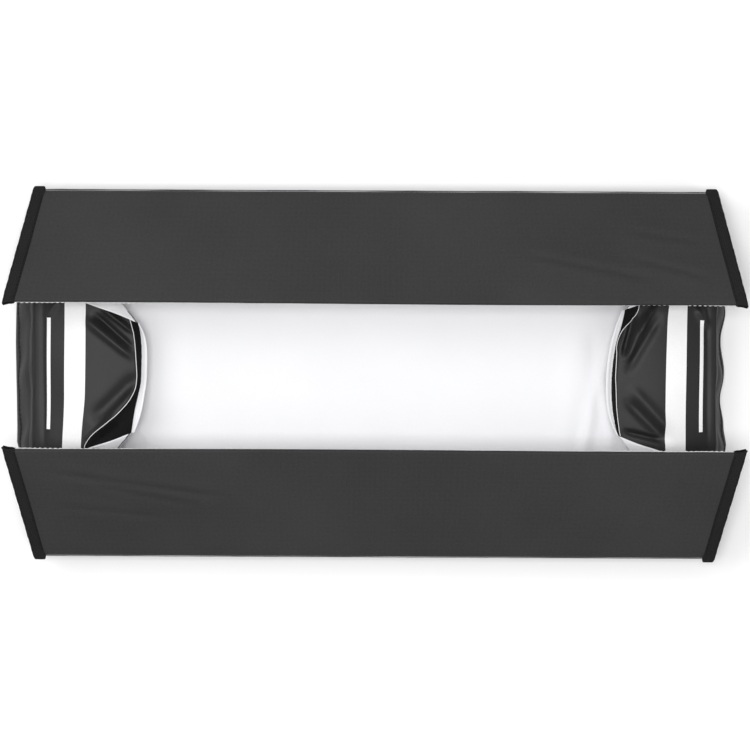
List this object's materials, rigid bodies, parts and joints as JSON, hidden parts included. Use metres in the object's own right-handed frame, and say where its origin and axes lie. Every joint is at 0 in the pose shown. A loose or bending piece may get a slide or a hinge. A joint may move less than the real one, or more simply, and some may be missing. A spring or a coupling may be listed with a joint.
{
  "type": "strip softbox",
  "caption": "Folding strip softbox for an LED panel: hinged cloth walls with stiff boards, gusseted ends, rear skirt that grips the lamp, and a white inner baffle.",
  "frame": {"origin": "on the surface it lies on, at the middle of the rear skirt's hem", "axes": "+X along the long opening, +Y across it, +Z the way the softbox faces"},
  "size_m": [0.6868, 0.3456, 0.0929],
  "materials": {
    "wall_cloth": "charcoal ripstop weave",
    "satin": "black satin nylon",
    "webbing": "black woven webbing",
    "grip_tape": "black hook and loop pile",
    "white_lining": "white woven lining",
    "baffle_cloth": "soft white diffusion cloth",
    "piping": "white cord",
    "board": "plain sheet"
  },
  "bodies": {
    "root": {"skirt_back": "satin", "skirt_front": "satin", "skirt_left": "satin", "skirt_right": "satin", "hook_tape_back": "grip_tape", "hook_tape_front": "grip_tape", "hook_tape_left": "grip_tape", "hook_tape_right": "grip_tape", "seam_binding_back": "webbing", "seam_binding_front": "webbing", "seam_binding_left": "webbing", "seam_binding_right": "webbing", "baffle_tape_back": "grip_tape", "baffle_tape_front": "grip_tape", "baffle_tape_left": "grip_tape", "baffle_tape_right": "grip_tape", "baffle_sheet": "baffle_cloth"},
    "wall_back": {"wall_back_cover": "wall_cloth", "wall_back_board": "board", "wall_back_lining": "white_lining", "wall_back_loop_tape": "grip_tape", "wall_back_band_left": "webbing", "wall_back_band_right": "webbing"},
    "wall_front": {"wall_front_cover": "wall_cloth", "wall_front_board": "board", "wall_front_lining": "white_lining", "wall_front_loop_tape": "grip_tape", "wall_front_band_left": "webbing", "wall_front_band_right": "webbing"},
    "end_left": {"end_left_cover": "satin", "end_left_lining": "white_lining", "end_left_loop_tape": "grip_tape", "end_left_piping": "piping"},
    "end_right": {"end_right_cover": "satin", "end_right_lining": "white_lining", "end_right_loop_tape": "grip_tape", "end_right_piping": "piping"},
    "wing_left_back": {"wing_left_back_cover": "satin", "wing_left_back_lining": "white_lining"},
    "wing_left_front": {"wing_left_front_cover": "satin", "wing_left_front_lining": "white_lining"},
    "wing_right_back": {"wing_right_back_cover": "satin", "wing_right_back_lining": "white_lining"},
    "wing_right_front": {"wing_right_front_cover": "satin", "wing_right_front_lining": "white_lining"}
  },
  "joints": [
    {"name": "wall_back_fold", "type": "hinge", "parent": "root", "child": "wall_back", "pos_m": [0, 0.172, 0.036], "axis": [-1, 0, 0], "range_deg": [-8, 75.6]},
    {"name": "wall_front_fold", "type": "hinge", "parent": "root", "child": "wall_front", "pos_m": [0, -0.172, 0.036], "axis": [1, 0, 0], "range_deg": [-8.2, 75.8]},
    {"name": "end_left_fold", "type": "hinge", "parent": "root", "child": "end_left", "pos_m": [-0.32, 0, 0.036], "axis": [0, -1, 0], "range_deg": [-10.17, 93.59]},
    {"name": "end_right_fold", "type": "hinge", "parent": "root", "child": "end_right", "pos_m": [0.32, 0, 0.036], "axis": [0, 1, 0], "range_deg": [-10.17, 93.59]},
    {"name": "wing_left_back_fold", "type": "hinge", "parent": "end_left", "child": "wing_left_back", "pos_m": [-0.32, 0.172, 0.036], "axis": [-0.6165, 0.7826, -0.0866], "range_deg": [-15.8, 145.88]},
    {"name": "wing_left_front_fold", "type": "hinge", "parent": "end_left", "child": "wing_left_front", "pos_m": [-0.32, -0.172, 0.036], "axis": [0.6165, 0.7826, 0.0866], "range_deg": [-15.8, 145.88]},
    {"name": "wing_right_back_fold", "type": "hinge", "parent": "end_right", "child": "wing_right_back", "pos_m": [0.32, 0.172, 0.036], "axis": [-0.6165, -0.7826, 0.0866], "range_deg": [-15.8, 145.88]},
    {"name": "wing_right_front_fold", "type": "hinge", "parent": "end_right", "child": "wing_right_front", "pos_m": [0.32, -0.172, 0.036], "axis": [0.6165, -0.7826, -0.0866], "range_deg": [-15.8, 145.88]}
  ],
  "couplings": [
    {"joint": "wall_front_fold", "follows": "wall_back_fold", "ratio": 1},
    {"joint": "end_left_fold", "follows": "wall_back_fold", "ratio": 1.234},
    {"joint": "end_right_fold", "follows": "wall_back_fold", "ratio": 1.234},
    {"joint": "wing_left_back_fold", "follows": "wall_back_fold", "ratio": 1.9244},
    {"joint": "wing_left_front_fold", "follows": "wall_back_fold", "ratio": 1.9244},
    {"joint": "wing_right_back_fold", "follows": "wall_back_fold", "ratio": 1.9244},
    {"joint": "wing_right_front_fold", "follows": "wall_back_fold", "ratio": 1.9244}
  ]
}
